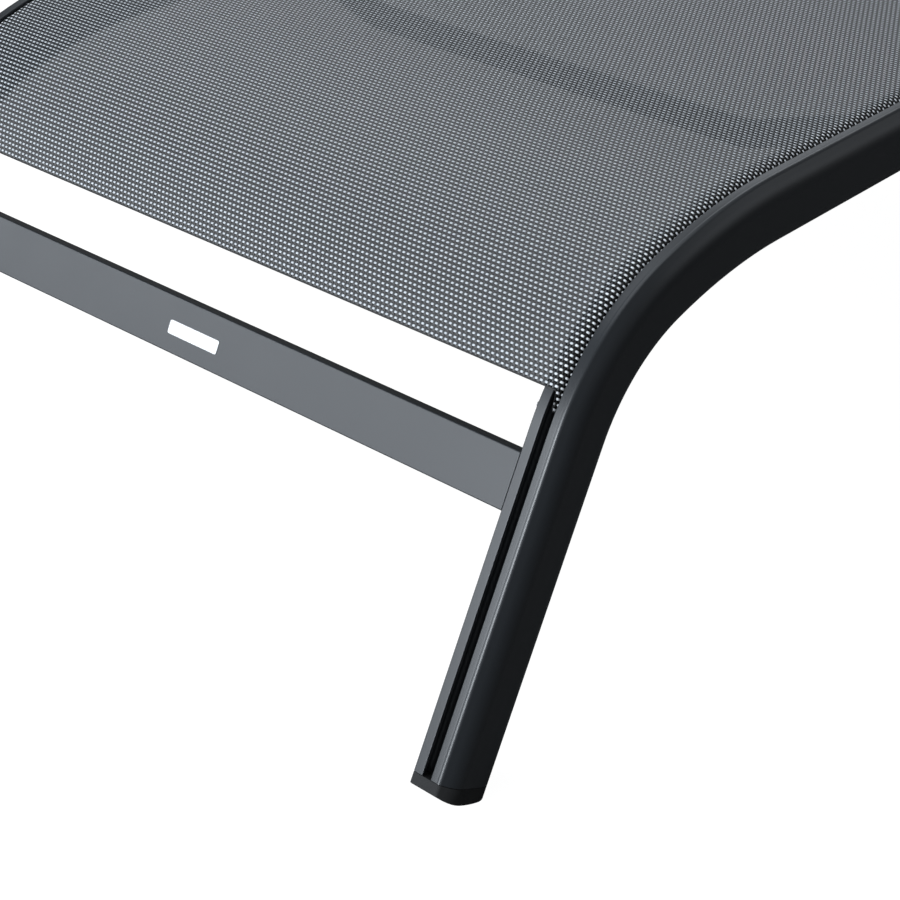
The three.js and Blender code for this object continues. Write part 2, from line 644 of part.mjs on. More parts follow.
// A lug on the backrest rail's outer side, with a stud for the arm.
function propLug() {
  const top = BED_HEIGHT - LUG.topDepth;
  const bottom = BED_HEIGHT - LUG.bottomDepth;
  const shape = new THREE.Shape();
  shape.moveTo(propPivot.y - LUG.halfLength, top);
  shape.lineTo(propPivot.y - LUG.halfLength, top - LUG.shoulder);
  shape.lineTo(propPivot.y - LUG.halfFoot, bottom);
  shape.lineTo(propPivot.y + LUG.halfFoot, bottom);
  shape.lineTo(propPivot.y + LUG.halfLength, top - LUG.shoulder);
  shape.lineTo(propPivot.y + LUG.halfLength, top);
  shape.closePath();
  const stud = [HINGE.boltRadius, LUG.from + 1, ARM.from + ARM.thick + STUD_REACH];
  return join(plate(shape, LUG.from, LUG.thick), barX(...stud, propPivot.y, propPivot.z));
}

function propArm() {
  const shape = new THREE.Shape();
  shape.absarc(propPivot.y, propPivot.z, ARM.halfWidth, Math.PI / 2 - PROP_FALL, 1.5 * Math.PI - PROP_FALL);
  shape.absarc(propFoot.y, propFoot.z, ARM.halfWidth, -Math.PI / 2 - PROP_FALL, Math.PI / 2 - PROP_FALL);
  shape.closePath();
  const bores = [[HINGE.boltRadius, propPivot], [PROP_ROD_RADIUS, propFoot]].map(([radius, { y, z }]) => (
    barX(radius + GAP, ARM.from - 1, ARM.from + ARM.thick + 1, y, z)));
  return cut(plate(shape, ARM.from, ARM.thick), bores);
}

const nutFrom = ARM.from + ARM.thick + GAP;
const nut = ringX(NUT.radius, HINGE.boltRadius + GAP, nutFrom, nutFrom + NUT.thick, propPivot.y, propPivot.z);
addPair('prop_lug', propLug(), 'frame');
addPair('prop_arm', propArm(), 'steel');
addPair('prop_pivot_nut', nut, 'steel');
addPiece('prop_rod', barX(PROP_ROD_RADIUS, -PROP_ROD_HALF, PROP_ROD_HALF, propFoot.y, propFoot.z), 'steel');

export default lounger;
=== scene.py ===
"""The looks of a reclining sun lounger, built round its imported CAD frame.

Shapes are worked out in millimetres and stored in metres. +Y points to the head end, +X to the right.
"""

import json
import math

import bmesh
import bpy
from mathutils import Matrix, Vector


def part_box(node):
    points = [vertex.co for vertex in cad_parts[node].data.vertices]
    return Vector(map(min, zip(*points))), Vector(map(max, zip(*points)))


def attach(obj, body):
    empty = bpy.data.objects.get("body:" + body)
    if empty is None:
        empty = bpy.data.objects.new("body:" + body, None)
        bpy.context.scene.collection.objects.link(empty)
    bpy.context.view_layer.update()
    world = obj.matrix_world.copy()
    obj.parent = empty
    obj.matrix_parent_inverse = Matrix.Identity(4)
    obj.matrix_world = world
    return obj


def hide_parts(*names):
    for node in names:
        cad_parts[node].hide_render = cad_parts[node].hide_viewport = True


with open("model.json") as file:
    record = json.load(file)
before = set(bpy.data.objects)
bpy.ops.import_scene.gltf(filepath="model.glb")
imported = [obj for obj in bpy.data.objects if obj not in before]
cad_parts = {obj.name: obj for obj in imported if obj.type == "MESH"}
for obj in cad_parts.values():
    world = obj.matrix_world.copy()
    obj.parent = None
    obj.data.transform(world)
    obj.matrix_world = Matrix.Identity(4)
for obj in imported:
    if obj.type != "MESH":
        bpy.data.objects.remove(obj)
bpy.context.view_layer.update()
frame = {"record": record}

MM = 0.001
SIDES = (("right", 1), ("left", -1))
SLOT_OF = {part["node"]: part["material_slot"] for part in frame["record"]["subparts"]}
BODY_OF = {
    node: body for body, nodes in frame["record"]["behaviour"]["bodies"].items() for node in nodes
}

# ---------- camera ----------


def make_camera():
    """The photograph's view of the foot end, from the right and above."""
    right = Vector((0.74392, 0.66827, 0.0))
    up = Vector((-0.34502, 0.38408, 0.85641))
    back = Vector((0.57231, -0.63710, 0.51629))
    data = bpy.data.cameras.new("camera")
    data.sensor_width = 36.0
    data.lens = 89.24
    data.clip_end = 60.0
    camera = bpy.data.objects.new("camera", data)
    bpy.context.scene.collection.objects.link(camera)
    turn = Matrix((right, up, back)).transposed().to_4x4()
    camera.matrix_world = Matrix.Translation((1.07775, -1.78973, 0.94495)) @ turn
    bpy.context.scene.camera = camera


make_camera()

# ---------- meshes ----------


def box_mm(node):
    """The lowest and highest corner of a CAD node, in millimetres."""
    low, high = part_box(node)
    return low / MM, high / MM


def add_piece(
    name, shape, material, nodes=(), slot=None, body=None, bevel=0.0, smooth=35, closed=True, flat=None
):
    """A mesh piece that rides on a body and stands for CAD nodes.

    flat gives each point's place in the cut cloth, and a share from 0 to 1 for how far it has gone down into
    a slot, which sets a painted shade and a painted highlight on the cloth.
    """
    points, faces = shape
    bm = bmesh.new()
    made = [bm.verts.new(Vector(point) * MM) for point in points]
    for face in faces:
        bm.faces.new([made[i] for i in face])
    if closed:
        bmesh.ops.recalc_face_normals(bm, faces=bm.faces)
    if bevel:
        sharp = [e for e in bm.edges if e.is_manifold and e.calc_face_angle() > math.radians(30)]
        bmesh.ops.bevel(
            bm, geom=sharp, offset=bevel * MM, segments=2, profile=0.5, affect="EDGES", clamp_overlap=True
        )
    mesh = bpy.data.meshes.new(name)
    bm.to_mesh(mesh)
    bm.free()
    mesh.polygons.foreach_set("use_smooth", [True] * len(mesh.polygons))
    mesh.set_sharp_from_angle(angle=math.radians(smooth))
    if flat:
        attribute = mesh.attributes.new("flat", "FLOAT_VECTOR", "POINT")
        attribute.data.foreach_set("vector", [c for place in flat for c in place])
    mesh.materials.append(material)
    obj = bpy.data.objects.new(name, mesh)
    bpy.context.scene.collection.objects.link(obj)
    if closed:
        weighted = obj.modifiers.new("weighted", "WEIGHTED_NORMAL")
        weighted.keep_sharp = True
    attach(obj, body or BODY_OF[nodes[0]])
    if nodes:
        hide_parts(*nodes)
    return obj


def add_single(node, shape, material, **facts):
    return add_piece(f"{node}_fine", shape, material, [node], **facts)


def add_pair(name, shape, material, **facts):
    """The right-hand shape, and its mirror image on the left."""
    points, faces = shape
    for side, sign in SIDES:
        turned_over = [(x * sign, y, z) for x, y, z in points]
        add_single(f"{name}_{side}", (turned_over, faces), material, **facts)


def combine(*shapes):
    points, faces = [], []
    for more_points, more_faces in shapes:
        start = len(points)
        points += [tuple(point) for point in more_points]
        faces += [tuple(i + start for i in face) for face in more_faces]
    return points, faces


def arc(x, y, radius_x, radius_y, start, end, steps):
    """Points on an ellipse's arc, with its angles in degrees."""
    angles = [math.radians(start + (end - start) * i / steps) for i in range(steps + 1)]
    return [(x + radius_x * math.cos(a), y + radius_y * math.sin(a)) for a in angles]


def bezier(start, control, end, steps):
    """Points on a quadratic curve, after its first."""
    found = []
    for i in range(1, steps + 1):
        t = i / steps
        weights = ((1 - t) ** 2, 2 * t * (1 - t), t * t)
        found.append(tuple(sum(w * p[k] for w, p in zip(weights, (start, control, end))) for k in (0, 1)))
    return found


def rounded(corners, radius, steps=5):
    """A polygon with its corners rounded, less where an edge is short."""
    found = []
    count = len(corners)
    for i, corner in enumerate(corners):
        here = Vector(corner)
        before = Vector(corners[i - 1]) - here
        after = Vector(corners[(i + 1) % count]) - here
        half = before.angle(after) / 2
        reach = min(radius / math.tan(half), 0.45 * before.length, 0.45 * after.length)
        first, last = here + before.normalized() * reach, here + after.normalized() * reach
        found += [tuple(first)] + bezier(first, here, last, steps)
    return found


def oval(radius_x, radius_y, sides):
    """A closed ellipse about the origin, for a sweep."""
    return arc(0, 0, radius_x, radius_y, 0, 360 - 360 / sides, sides - 1)


def swept(outline, stations):
    """An outline carried along stations, each an origin and the directions of the outline's x and y."""
    points = [origin + ex * x + ey * y for origin, ex, ey in stations for x, y in outline]
    count = len(outline)
    faces = []
    for s in range(len(stations) - 1):
        near, far = s * count, (s + 1) * count
        faces += [(near + i, near + (i + 1) % count, far + (i + 1) % count, far + i) for i in range(count)]
    last = (len(stations) - 1) * count
    return points, faces + [tuple(range(count)), tuple(range(last, last + count))]


X, Y, Z = Vector((1, 0, 0)), Vector((0, 1, 0)), Vector((0, 0, 1))


def plate(outline, from_x, to_x):
    """A plate drawn in the YZ plane."""
    return swept(outline, [(X * from_x, Y, Z), (X * to_x, Y, Z)])


def turned(profile, y, z, sides=40, ring=False):
    """A body turned about an axis along X from (x, radius) points. A ring's profile is a loop with a bore."""
    rows, points = [], []
    for x, radius in profile:
        count = 1 if radius < 1e-6 else sides
        rows.append([len(points) + i for i in range(count)])
        angles = [2 * math.pi * i / sides for i in range(count)]
        points += [(x, y + radius * math.sin(a), z + radius * math.cos(a)) for a in angles]
    faces = []
    for a, b in zip(rows, rows[1:] + rows[:1] if ring else rows[1:]):
        for i in range(sides):
            corners = [a[i % len(a)], a[(i + 1) % len(a)], b[(i + 1) % len(b)], b[i % len(b)]]
            faces.append(tuple(dict.fromkeys(corners)))
    return points, faces


# ---------- materials ----------


class Shader:
    """A new material with short ways to add nodes to it."""

    def __init__(self, name):
        self.material = bpy.data.materials.new(name)
        self.material.use_nodes = True
        self.nodes = self.material.node_tree.nodes
        self.links = self.material.node_tree.links
        self.surface = self.nodes["Principled BSDF"]

    def put(self, socket, value):
        if isinstance(value, bpy.types.NodeSocket):
            self.links.new(value, socket)
        else:
            socket.default_value = value

    def set(self, **values):
        """Sets the surface's own sockets, with _ for a space in their names."""
        for name, value in values.items():
            self.put(self.surface.inputs[name.replace("_", " ")], value)

    def math(self, operation, *values):
        node = self.nodes.new("ShaderNodeMath")
        node.operation = operation
        for socket, value in zip(node.inputs, values):
            self.put(socket, value)
        return node.outputs[0]

    def ranged(self, value, low, high, to_low=0.0, to_high=1.0):
        node = self.nodes.new("ShaderNodeMapRange")
        for name, number in (("From Min", low), ("From Max", high), ("To Min", to_low), ("To Max", to_high)):
            node.inputs[name].default_value = number
        self.put(node.inputs["Value"], value)
        return node.outputs["Result"]

    def mix_into(self, share, first, second):
        node = self.nodes.new("ShaderNodeMix")
        node.data_type = "RGBA"
        self.put(node.inputs[0], share)
        self.put(node.inputs[6], first)
        self.put(node.inputs[7], second)
        return node.outputs[2]

    def place(self):
        return self.nodes.new("ShaderNodeTexCoord").outputs["Object"]

    def noise(self, scale, detail=2.0, stretch=None):
        node = self.nodes.new("ShaderNodeTexNoise")
        node.inputs["Scale"].default_value = scale
        node.inputs["Detail"].default_value = detail
        where = self.place()
        if stretch:
            mapping = self.nodes.new("ShaderNodeMapping")
            mapping.inputs["Scale"].default_value = stretch
            self.links.new(where, mapping.inputs["Vector"])
            where = mapping.outputs["Vector"]
        self.links.new(where, node.inputs["Vector"])
        return node.outputs["Fac"]

    def bump(self, height, distance, strength=1.0):
        node = self.nodes.new("ShaderNodeBump")
        node.inputs["Distance"].default_value = distance
        node.inputs["Strength"].default_value = strength
        self.put(node.inputs["Height"], height)
        self.put(self.surface.inputs["Normal"], node.outputs["Normal"])


def grey(value, tint=1.0):
    """A grey that leans to blue as tint goes above 1."""
    return (value / tint, value, value * tint, 1.0)


def powder_coat(name, level, tint=1.17, roughness=0.36):
    """Paint with the fine dimples of a powder coat and a faint unevenness in tone and gloss."""
    shader = Shader(name)
    cloud = shader.noise(30.0, 2.0)
    dimples = shader.noise(1800.0, 2.0)
    tone = shader.ranged(cloud, 0.3, 0.7)
    shader.set(Base_Color=shader.mix_into(tone, grey(level * 0.97, tint), grey(level * 1.03, tint)))
    shader.set(Roughness=shader.ranged(cloud, 0.25, 0.75, roughness - 0.01, roughness + 0.01))
    shader.bump(dimples, 0.00002, 0.5)
    return shader.material


def moulded(name, level, roughness=0.5, specular=0.5):
    """Black moulded plastic with a fine spark-eroded grain."""
    shader = Shader(name)
    shader.set(Specular_IOR_Level=specular)
    grain = shader.noise(2600.0, 3.0)
    cloud = shader.noise(90.0, 2.0)
    tone = shader.ranged(cloud, 0.3, 0.7)
    shader.set(Base_Color=shader.mix_into(tone, grey(level * 0.85, 1.03), grey(level * 1.15, 1.03)))
    shader.set(Roughness=shader.ranged(grain, 0.3, 0.7, roughness - 0.05, roughness + 0.08))
    shader.bump(grain, 0.00004)
    return shader.material


def satin_steel(name, level=0.5, roughness=0.3):
    """Stainless steel with a drawn grain along X."""
    shader = Shader(name)
    grain = shader.noise(1800.0, 3.0, (0.06, 1.0, 1.0))
    shader.set(Base_Color=shader.mix_into(grain, grey(level * 0.9), grey(level * 1.1)), Metallic=1.0)
    shader.set(Roughness=shader.ranged(grain, 0.25, 0.75, roughness - 0.06, roughness + 0.1))
    shader.bump(grain, 0.00002)
    return shader.material


def film(name):
    """A white film sticker, slightly uneven where it is stuck down."""
    shader = Shader(name)
    cloud = shader.noise(160.0, 2.0)
    shader.set(Base_Color=shader.mix_into(cloud, (0.76, 0.77, 0.78, 1.0), (0.8, 0.8, 0.8, 1.0)))
    shader.set(Roughness=shader.ranged(cloud, 0.3, 0.7, 0.32, 0.42))
    shader.bump(cloud, 0.0001, 0.5)
    return shader.material


WARP_PITCH, WEFT_PITCH = 2.01, 3.55
WARP_HALF, WEFT_HALF = 0.37, 0.23
YARN_HEIGHT, WAVE = 0.35, 0.3
BASE_LEVEL = 1.0
# Painted shade in the hollows between yarns: darkest at the first height, none above the second.
CREVICE_SHADE_LOW_HEIGHT, CREVICE_SHADE_HIGH_HEIGHT = 1.05, 1.48
# Painted slot shade and highlight: the warp's colour is scaled down and the weft's scaled up where the cloth
# goes into a slot.
WARP_SLOT_SHADE, WEFT_SLOT_HIGHLIGHT, WEFT_SLOT_HIGHLIGHT_MOST = 0.1, 1.6, 0.9


def weave(name, warp_level, weft_level, see_through=0.2):
    """Plain weave of coated yarn: dark warp along the cloth and pale weft across it, with small openings.

    The attribute flat holds each point's place in the cut cloth, in millimetres, and a share from 0 to 1 for
    how far it has gone down into a slot. By that share the warp gets a painted shade and the weft a painted
    highlight.
    The lower parts of each yarn get a painted shade too. Heights are in millimetres.
    """
    shader = Shader(name)
    math_node = shader.math
    where = shader.nodes.new("ShaderNodeAttribute")
    where.attribute_name = "flat"
    split = shader.nodes.new("ShaderNodeSeparateXYZ")
    shader.links.new(where.outputs["Vector"], split.inputs["Vector"])
    across = math_node("DIVIDE", split.outputs["X"], WARP_PITCH)
    along = math_node("DIVIDE", split.outputs["Y"], WEFT_PITCH)
    waves = [math_node("COSINE", math_node("MULTIPLY", at, math.pi)) for at in (across, along)]
    wave = math_node("MULTIPLY", math_node("MULTIPLY", *waves), WAVE)

    def yarn(at, half, rise):
        """A yarn's height above the openings, which are at 0."""
        share = math_node("DIVIDE", math_node("PINGPONG", at, 0.5), half)
        inside = math_node("LESS_THAN", share, 1.0)
        drop = math_node("MAXIMUM", math_node("SUBTRACT", 1.0, math_node("POWER", share, 2.0)), 0.0)
        crown = math_node("MULTIPLY", math_node("SQRT", drop), YARN_HEIGHT)
        top = math_node("ADD", math_node("ADD", crown, rise), BASE_LEVEL)
        return math_node("MULTIPLY", top, inside)

    warp = yarn(across, WARP_HALF, math_node("MULTIPLY", wave, -1.0))
    weft = yarn(along, WEFT_HALF, wave)
    height = math_node("MAXIMUM", warp, weft)
    weft_on_top = math_node("GREATER_THAN", weft, warp)
    opening = math_node("LESS_THAN", height, 0.1)
    # Painted shade: the lower parts of each yarn are darkened, and their specular is lowered by the same
    # share.
    depth = shader.ranged(height, CREVICE_SHADE_LOW_HEIGHT, CREVICE_SHADE_HIGH_HEIGHT)
    fleck = shader.ranged(shader.noise(420.0, 2.0), 0.3, 0.7, 0.88, 1.12)
    level = math_node("MULTIPLY", depth, fleck)
    # Painted shade on the warp and painted highlight on the weft, by how far the cloth has gone into a slot.
    slot_shade_share = split.outputs["Z"]
    highlit_weft_level = min(weft_level * WEFT_SLOT_HIGHLIGHT, WEFT_SLOT_HIGHLIGHT_MOST)
    shaded_warp = shader.mix_into(slot_shade_share, grey(warp_level, 1.08), grey(warp_level * WARP_SLOT_SHADE, 1.08))
    highlit_weft = shader.mix_into(slot_shade_share, grey(weft_level, 1.06), grey(highlit_weft_level, 1.04))
    colour = shader.mix_into(weft_on_top, shaded_warp, highlit_weft)
    # The painted crevice shade, with random flecks of tone, mixed toward near-black.
    shaded = shader.mix_into(level, (0.002, 0.002, 0.002, 1.0), colour)
    shader.set(Specular_IOR_Level=math_node("MULTIPLY", depth, 0.5))
    shader.set(Base_Color=shaded, Roughness=shader.ranged(height, 0.9, 1.6, 0.6, 0.33))
    shader.set(Alpha=math_node("SUBTRACT", 1.0, math_node("MULTIPLY", opening, see_through)))
    shader.bump(math_node("MAXIMUM", height, 0.8), 0.001, 0.8)
    return shader.material


PAINT = powder_coat("powder_coat_anthracite", 0.02)
STEEL_PAINT = powder_coat("powder_coat_on_steel", 0.025, roughness=0.4)
PLASTIC = moulded("moulded_black", 0.02)
CAP = moulded("moulded_cap", 0.016, 0.7, 0.3)
STEEL = satin_steel("satin_stainless")
FILM = film("white_film")
CLOTH = weave("woven_sling", 0.056, 0.6)
CLOTH_EDGE = moulded("welded_cloth_edge", 0.022, 0.6)
WRAP = weave("woven_wrap", 0.05, 0.3, 0.0)

# ---------- the side rails' line ----------
BED = box_mm("side_rail_right")[1].z
HALF_CLEAR = box_mm("side_rail_right")[0].x
FRONT_TOE_Y = box_mm("foot_cap_front_right")[0].y
REAR_TOE_Y = box_mm("foot_cap_rear_right")[1].y
RAIL_WIDTH, RAIL_DEPTH = 31.0, 50.0
LEG_LEAN = math.radians(27.6)
TIGHT_RADIUS, TIGHT_TURN = 170.0, math.radians(45.0)
EASY_RADIUS, EASY_TURN = 420.0, math.pi / 2 - LEG_LEAN - TIGHT_TURN
TOE_LIFT = 21.5
FOOT_TURN = TIGHT_TURN + EASY_TURN
TIGHT_RISE = TIGHT_RADIUS * (math.cos(EASY_TURN) - math.cos(FOOT_TURN))
EASY_RISE = EASY_RADIUS * (1 - math.cos(EASY_TURN))
LEG_LENGTH = (BED - TOE_LIFT - TIGHT_RISE - EASY_RISE) / math.cos(LEG_LEAN)
TIGHT_LENGTH = TIGHT_RADIUS * TIGHT_TURN
EASY_LENGTH = EASY_RADIUS * EASY_TURN
FOOT_RUN = LEG_LENGTH + TIGHT_LENGTH + EASY_LENGTH
CAP_THICK, SEAM = 8.0, 0.15
SOLE = ((0.0, 0.0), (8.0, 4.6), (31.0, 5.6), (50.5, -0.4))
SOLE_REACH = 6.0


def foot_line(along):
    """How far in, how high and how steep the rail's top line is at a distance from the toe."""
    straight = min(along, LEG_LENGTH)
    tight = min(max(along - LEG_LENGTH, 0.0), TIGHT_LENGTH) / TIGHT_RADIUS
    easy = min(max(along - LEG_LENGTH - TIGHT_LENGTH, 0.0), EASY_LENGTH) / EASY_RADIUS
    mid = FOOT_TURN - tight
    climb = mid - easy
    inward = straight * math.cos(FOOT_TURN) + max(along - FOOT_RUN, 0.0)
    inward += TIGHT_RADIUS * (math.sin(FOOT_TURN) - math.sin(mid))
    inward += EASY_RADIUS * (math.sin(mid) - math.sin(climb))
    height = TOE_LIFT + straight * math.sin(FOOT_TURN)
    height += TIGHT_RADIUS * (math.cos(mid) - math.cos(FOOT_TURN))
    height += EASY_RADIUS * (math.cos(climb) - math.cos(mid))
    return inward, height, climb


def foot_point(along, at_head=False):
    """The point on the top line, X left at 0, and the direction that leads away from the rail's material."""
    inward, height, climb = foot_line(along)
    if at_head:
        return Vector((0, REAR_TOE_Y - inward, height)), Vector((0, math.sin(climb), math.cos(climb)))
    return Vector((0, FRONT_TOE_Y + inward, height)), Vector((0, -math.sin(climb), math.cos(climb)))


def foot_steps(start, tight_steps=18, easy_steps=10):
    """Distances from the toe where a swept part turns, rising from a start to the level bed."""
    steps = [LEG_LENGTH * 0.5, LEG_LENGTH]
    steps += [LEG_LENGTH + TIGHT_LENGTH * (i + 1) / tight_steps for i in range(tight_steps)]
    steps += [LEG_LENGTH + TIGHT_LENGTH + EASY_LENGTH * (i + 1) / easy_steps for i in range(easy_steps)]
    return [start] + [along for along in steps if along > start + 2]


def bed_station(y):
    return Vector((0, y, BED)), Z.copy()


def sections_at(line, from_x, inward=1):
    """Stations for a rail section whose flat side is at from_x."""
    return [(point + X * from_x, X * inward, normal) for point, normal in line]


# ---------- rail sections ----------
RAIL_SLOT, BACK_SLOT = 7.6, 8.0
SLOT_WIDTH, LIP, CHANNEL_RADIUS = 7.0, 2.2, 6.0
OPENING = math.degrees(math.asin(SLOT_WIDTH / 2 / CHANNEL_RADIUS))
CHANNEL_DEPTH = LIP + math.sqrt(CHANNEL_RADIUS**2 - (SLOT_WIDTH / 2) ** 2)
INNER_EDGE, LIP_EDGE = 0.8, 0.6
RIDGE_FROM, RIDGE_RADIUS, RIDGE_TURN = 0.335, 4.2, 42.0
GROOVE_WIDTH, GROOVE_DEPTH, GROOVE_SLANT = 1.8, 0.09, 0.35
CHAMFER_TURN, EDGE_RADIUS = 47.0, 0.6
ROUND_WIDTH, ROUND_DEPTH = 0.41, 0.27
BOTTOM_CORNER = 4.0


def slot_outline(left):
    """The slot and the round channel under it, from one lip to the other."""
    right, centre = left + SLOT_WIDTH, left + SLOT_WIDTH / 2
    points = arc(left - LIP_EDGE, -LIP_EDGE, LIP_EDGE, LIP_EDGE, 90, 0, 3)
    points += arc(centre, -CHANNEL_DEPTH, CHANNEL_RADIUS, CHANNEL_RADIUS, 90 + OPENING, 450 - OPENING, 22)
    return points + arc(right + LIP_EDGE, -LIP_EDGE, LIP_EDGE, LIP_EDGE, 180, 90, 3)


def rail_outline(width, depth, slot=None):
    """A rail's cross-section.

    x runs from the flat side to the curved side, and y is 0 on the face. A slot starts at slot, if given.
    """
    round_x, round_y = ROUND_WIDTH * width, ROUND_DEPTH * depth
    centre_y = round_y - depth
    ridge = width * (1 - RIDGE_FROM)
    points = arc(INNER_EDGE, -INNER_EDGE, INNER_EDGE, INNER_EDGE, 180, 90, 4)
    if slot:
        points += slot_outline(slot)
    groove = ridge - GROOVE_WIDTH
    slant = GROOVE_WIDTH * GROOVE_SLANT
    points += [(groove, 0.0), (groove + slant, -GROOVE_DEPTH), (ridge - slant, -GROOVE_DEPTH)]
    points += arc(ridge, -RIDGE_RADIUS, RIDGE_RADIUS, RIDGE_RADIUS, 90, 90 - RIDGE_TURN, 8)
    corner, turn = EDGE_RADIUS * width, math.radians(90 - CHAMFER_TURN)
    run = width - corner * (1 - math.cos(turn)) - points[-1][0]
    side_y = points[-1][1] - run * math.tan(math.radians(CHAMFER_TURN)) - corner * math.sin(turn)
    points += arc(width - corner, side_y, corner, corner, 90 - CHAMFER_TURN, 0, 10)
    points += arc(width - round_x, centre_y, round_x, round_y, 0, -90, 12)
    return points + arc(BOTTOM_CORNER, BOTTOM_CORNER - depth, BOTTOM_CORNER, BOTTOM_CORNER, 270, 180, 6)


# ---------- side rails and foot caps ----------


def side_rail():
    front = [foot_point(along) for along in foot_steps(CAP_THICK + SEAM)]
    rear = [foot_point(along, True) for along in foot_steps(CAP_THICK + SEAM)]
    line = front + rear[::-1]
    return swept(rail_outline(RAIL_WIDTH, RAIL_DEPTH, RAIL_SLOT), sections_at(line, HALF_CLEAR))


def sole_line(at_head, steps=14):
    """Points along the cap's rounded sole from the toe to the heel, in the leg's plane."""
    toe, normal = foot_point(0.0, at_head)
    down = toe - foot_point(1.0, at_head)[0]
    found = []
    for i in range(steps + 1):
        t = i / steps
        weights = ((1 - t) ** 3, 3 * t * (1 - t) ** 2, 3 * t * t * (1 - t), t**3)
        depth, bulge = (sum(w * p[k] for w, p in zip(weights, SOLE)) for k in (0, 1))
        found.append(toe - normal * depth + down * bulge)
    return found


def cut_off(bm, point, normal):
    """Takes away what lies on the far side of a plane from its normal, and closes the cut."""
    everything = bm.verts[:] + bm.edges[:] + bm.faces[:]
    cut = bmesh.ops.bisect_plane(
        bm, geom=everything, plane_co=point, plane_no=normal, clear_inner=True, dist=1e-4
    )
    edges = [e for e in cut["geom_cut"] if isinstance(e, bmesh.types.BMEdge) and e.is_boundary]
    if edges:
        bmesh.ops.contextual_create(bm, geom=edges)


def foot_cap(at_head):
    """The plastic plate on the tube's end, with a rounded sole and its heel cut level with the floor."""
    outline = rail_outline(RAIL_WIDTH, RAIL_DEPTH)
    line = [foot_point(along, at_head) for along in (-SOLE_REACH, CAP_THICK - SEAM)]
    points, faces = swept(outline, sections_at(line, HALF_CLEAR))
    bm = bmesh.new()
    made = [bm.verts.new(point) for point in points]
    for face in faces:
        bm.faces.new([made[i] for i in face])
    sole = sole_line(at_head)
    for near, far in zip(sole, sole[1:]):
        inward = X.cross(far - near)
        cut_off(bm, near, inward if inward.z > 0 else -inward)
    cut_off(bm, Vector((0, 0, 0)), Z)
    bm.verts.index_update()
    shape = [v.co.copy() for v in bm.verts], [tuple(v.index for v in f.verts) for f in bm.faces]
    bm.free()
    return shape


add_pair("side_rail", side_rail(), PAINT)
add_pair("foot_cap_front", foot_cap(False), CAP, bevel=0.4)
add_pair("foot_cap_rear", foot_cap(True), CAP, bevel=0.4)

# ---------- crossbars and the label ----------
CROSSBAR_FROM, CROSSBAR_HEIGHT, CROSSBAR_THICK = 187.0, 39.5, 18.0
LABEL_ALONG, LABEL_HALF_HEIGHT, LABEL_CORNER = 204.8, 5.0, 1.7
LABEL_BACK, LABEL_FRONT = 0.05, 0.4
CROSSBAR_EDGE = 0.9
CROSSBAR_WELD = 0.25


def leg_axes(at_head):
    """The toe's place, the direction up the leg and the direction out of its slotted face."""
    outward = 1 if at_head else -1
    toe = Vector((0, REAR_TOE_Y if at_head else FRONT_TOE_Y, TOE_LIFT))
    up = Vector((0, -outward * math.sin(LEG_LEAN), math.cos(LEG_LEAN)))
    return toe, up, Vector((0, outward * math.cos(LEG_LEAN), math.sin(LEG_LEAN)))


def crossbar(node, at_head):
    """A rectangular tube between the legs, flush with their slotted faces."""
    toe, up, out = leg_axes(at_head)
    low, high = box_mm(node)
    to = CROSSBAR_FROM + CROSSBAR_HEIGHT
    corners = [(CROSSBAR_FROM, -CROSSBAR_THICK), (CROSSBAR_FROM, 0), (to, 0), (to, -CROSSBAR_THICK)]
    ends = (low.x - CROSSBAR_WELD, high.x + CROSSBAR_WELD)
    return swept(rounded(corners, CROSSBAR_EDGE, 4), [(toe + X * x, up, out) for x in ends])


add_single("front_crossbar", crossbar("front_crossbar", False), PAINT)
add_single("rear_crossbar", crossbar("rear_crossbar", True), PAINT)


def label():
    """A blank sticker that lies on the front crossbar."""
    toe, up, out = leg_axes(False)
    low, high = box_mm("crossbar_label")
    middle_x, half_x, half_up = (low.x + high.x) / 2, (high.x - low.x) / 2, LABEL_HALF_HEIGHT
    corners = [(-half_x, -half_up), (half_x, -half_up), (half_x, half_up), (-half_x, half_up)]
    centre = toe + up * LABEL_ALONG + X * middle_x
    stations = [(centre + out * rise, X, up) for rise in (LABEL_BACK, LABEL_FRONT)]
    return swept(rounded(corners, LABEL_CORNER), stations)


add_single("crossbar_label", label(), FILM, bevel=0.12)

# ---------- bowed stretchers and the head bar ----------
TUBE_RADIUS, TUBE_SIDES = 11.0, 48
SLOPE = math.radians(18.0)
BOW_BEND = 60.0
SEAT_DROP, BACK_DROP = 38.0, 30.0


def bow(half_span, drop):
    """Half of a bowed tube's centreline from the middle to the rail: (x, drop, slope)."""
    bend_drop, bend_run = BOW_BEND * (1 - math.cos(SLOPE)), BOW_BEND * math.sin(SLOPE)
    flat_half = half_span - (drop - bend_drop) / math.tan(SLOPE) - bend_run
    points = [(flat_half * i / 3, drop, 0.0) for i in range(3)]
    for i in range(9):
        slope = SLOPE * i / 8
        run, rise = BOW_BEND * math.sin(slope), BOW_BEND * (1 - math.cos(slope))
        points.append((flat_half + run, drop - rise, slope))
    return points + [(half_span, 0.0, SLOPE)]


def stretcher(node, drop):
    """A round tube bowed below the sling, cut off square to X where it meets the rails."""
    low, high = box_mm(node)
    y, end_z = (low.y + high.y) / 2, low.z + TUBE_RADIUS + drop
    half = bow(high.x, drop)
    line = [(-x, fall, -slope) for x, fall, slope in half[:0:-1]] + half
    stations = []
    for i, (x, fall, slope) in enumerate(line):
        at_end = i in (0, len(line) - 1)
        up = Z / math.cos(slope) if at_end else Vector((-math.sin(slope), 0, math.cos(slope)))
        stations.append((Vector((x, y, end_z - fall)), Y, up))
    return swept(oval(TUBE_RADIUS, TUBE_RADIUS, TUBE_SIDES), stations)


